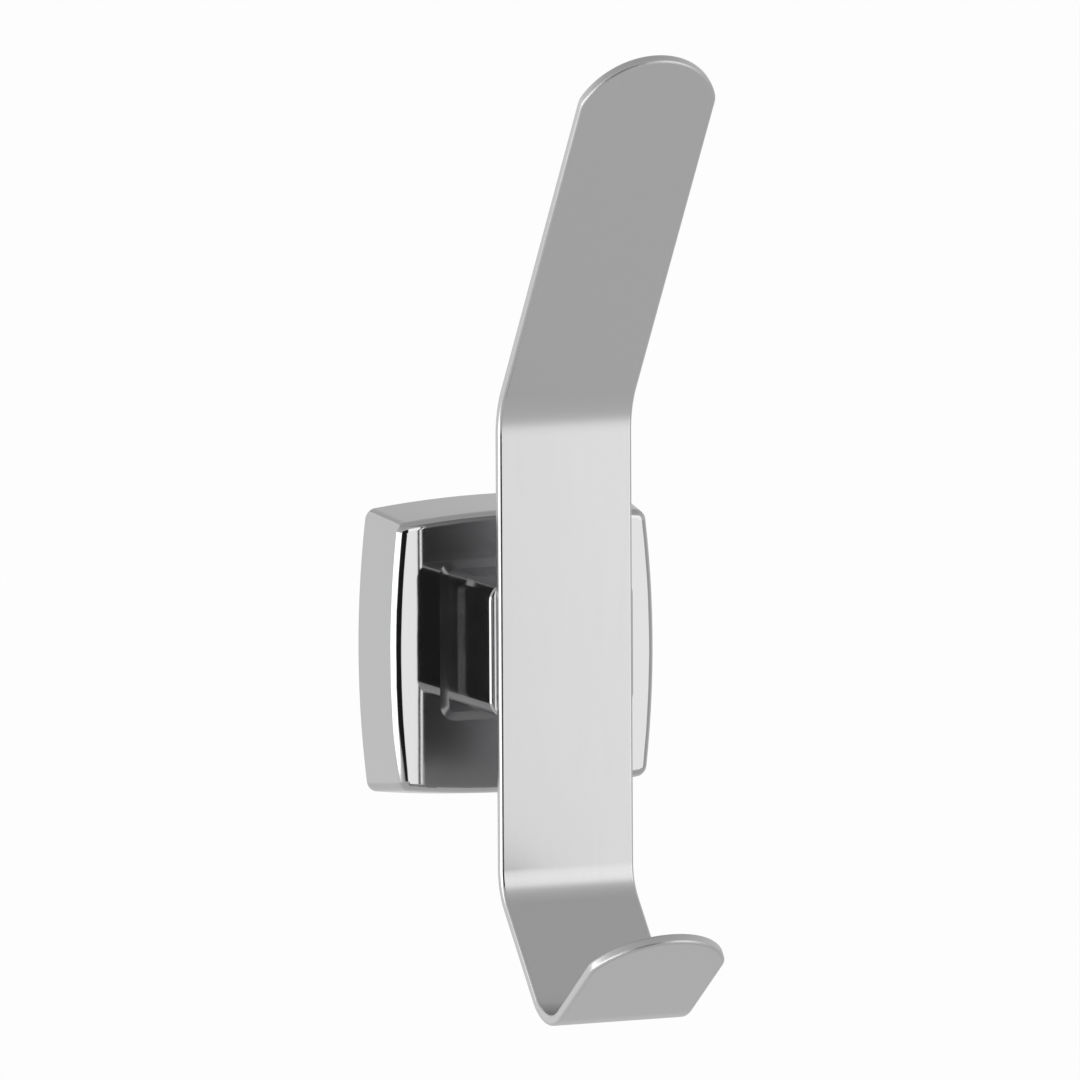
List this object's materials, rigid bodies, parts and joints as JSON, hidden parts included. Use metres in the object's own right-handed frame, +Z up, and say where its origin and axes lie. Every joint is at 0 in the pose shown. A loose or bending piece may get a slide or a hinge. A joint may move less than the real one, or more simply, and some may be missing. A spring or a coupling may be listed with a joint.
{
  "type": "hat and coat hook",
  "caption": "Wall hook: bent satin steel strap with a long hat arm and an upturned coat lip, on a short arm and polished square flange with a concealed wall plate.",
  "frame": {"origin": "middle of the flange's back edge, on the wall", "axes": "+Y into the wall, so the hook projects towards -Y; +Z up; +X to the right for someone who faces the wall"},
  "size_m": [0.0534, 0.0776, 0.1712],
  "materials": {
    "strap": "satin stainless steel, brushed along its length",
    "flange": "mirror polished",
    "plate": "plain rolled sheet",
    "fasteners": "plain turned",
    "screw": "plain turned"
  },
  "bodies": {
    "root": {"hook_strap": "strap", "flange": "flange", "wall_plate": "plate", "stud_washers": "fasteners", "stud_nuts": "fasteners", "set_screw": "screw"}
  },
  "joints": []
}
